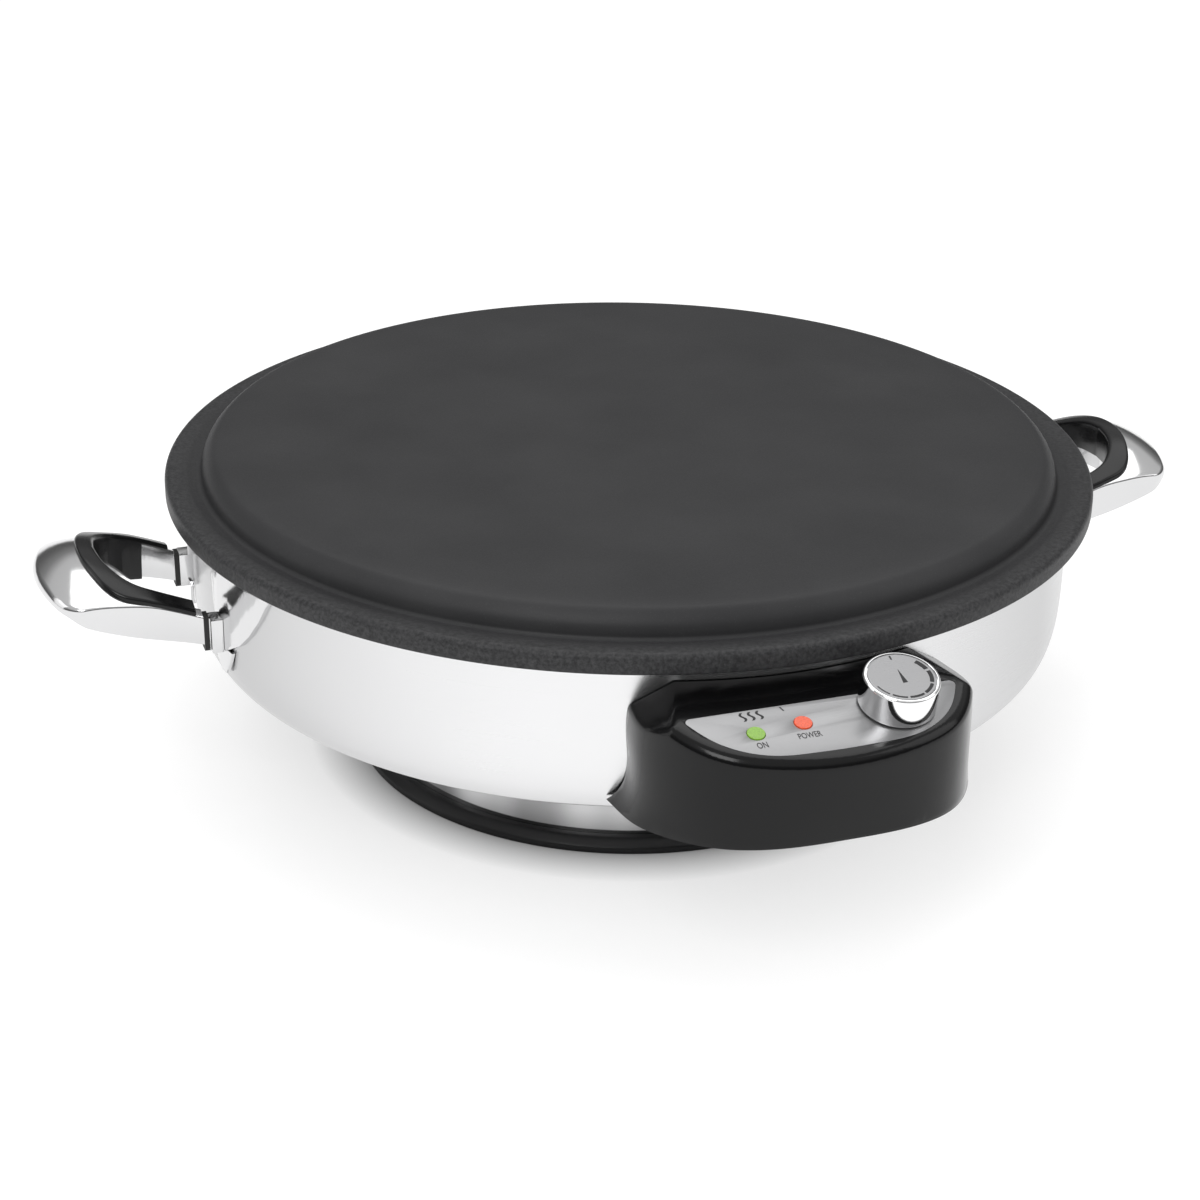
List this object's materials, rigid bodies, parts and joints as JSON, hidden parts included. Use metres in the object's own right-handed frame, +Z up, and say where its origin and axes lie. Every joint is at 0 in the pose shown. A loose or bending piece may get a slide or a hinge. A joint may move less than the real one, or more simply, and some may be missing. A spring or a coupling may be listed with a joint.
{
  "type": "electric griddle",
  "caption": "Round electric griddle: lift-off black plate on a steel bowl with a foot ring, chrome loop handles and a front control box with thermostat knob and lamps.",
  "frame": {"origin": "centre of the overall footprint on the table the griddle stands on", "axes": "+Z up, front with the control box towards -Y, handles along +X and -X; the bowl axis is 23 mm behind the origin"},
  "size_m": [0.542, 0.4659, 0.1482],
  "materials": {
    "nonstick_plate": "matte black non-stick coating on cast aluminium",
    "bowl_steel": "satin stainless sheet",
    "foot_steel": "polished stainless band",
    "base_black": "black heat-resistant plastic",
    "cover_steel": "plain pressed sheet",
    "screw_steel": "zinc-plated steel",
    "dish_aluminium": "bright reflector sheet",
    "inner_steel": "plain steel strip",
    "element_sheath": "dark heat-stained sheath",
    "bushing_ceramic": "unglazed white ceramic",
    "tab_brass": "bare brass",
    "lead_sleeve": "woven glass sleeve",
    "tube_copper": "bare copper",
    "housing_black": "glossy black moulding",
    "seal_rubber": "black silicone",
    "fascia_silver": "satin silver plate with printed marks",
    "lamp_white": "white plastic",
    "lens_green": "green translucent lens",
    "lens_orange": "orange-red translucent lens",
    "knob_chrome": "bright chrome",
    "knob_satin": "satin disc with printed scale",
    "handle_chrome": "polished cast metal",
    "grip_black": "satin black heat-resistant insert"
  },
  "bodies": {
    "griddle_base": {"base_ring": "base_black", "base_screws": "screw_steel", "bottom_cover": "cover_steel", "bowl_shell": "bowl_steel", "box_bolts": "screw_steel", "box_bracket": "inner_steel", "box_seal": "seal_rubber", "capillary_tube": "tube_copper", "control_base": "base_black", "control_housing": "housing_black", "cord_gland": "base_black", "cover_screws": "screw_steel", "dish_screws": "screw_steel", "dish_supports": "inner_steel", "element_bushings": "bushing_ceramic", "element_clips": "inner_steel", "element_leads": "lead_sleeve", "element_tabs": "tab_brass", "fascia_plate": "fascia_silver", "foot_shell": "foot_steel", "gland_nut": "base_black", "heating_element": "element_sheath", "lamp_holders": "lamp_white", "left_handle_casting": "handle_chrome", "left_handle_gaskets": "seal_rubber", "left_handle_grip": "grip_black", "left_handle_lugs": "handle_chrome", "left_handle_screws": "screw_steel", "lens_green": "lens_green", "lens_orange": "lens_orange", "reflector_dish": "dish_aluminium", "right_handle_casting": "handle_chrome", "right_handle_gaskets": "seal_rubber", "right_handle_grip": "grip_black", "right_handle_lugs": "handle_chrome", "right_handle_screws": "screw_steel", "sensor_bulb": "tube_copper", "sensor_post": "inner_steel", "terminal_block": "lamp_white", "terminal_screws": "tab_brass", "thermostat_body": "bushing_ceramic", "thermostat_plate": "inner_steel", "thermostat_tabs": "tab_brass"},
    "cooking_plate": {"griddle_plate": "nonstick_plate"},
    "thermostat_knob": {"knob_body": "knob_chrome", "knob_cap": "knob_satin", "knob_shaft": "screw_steel"}
  },
  "joints": [
    {"name": "plate_lift", "type": "slide", "parent": "griddle_base", "child": "cooking_plate", "axis": [0, 0, 1], "range_m": [0, 0.06]},
    {"name": "knob_turn", "type": "hinge", "parent": "griddle_base", "child": "thermostat_knob", "pos_m": [0.0284, -0.207, 0.11766], "axis": [0, -0.2419, 0.9703], "range_deg": [-270, 0]}
  ]
}
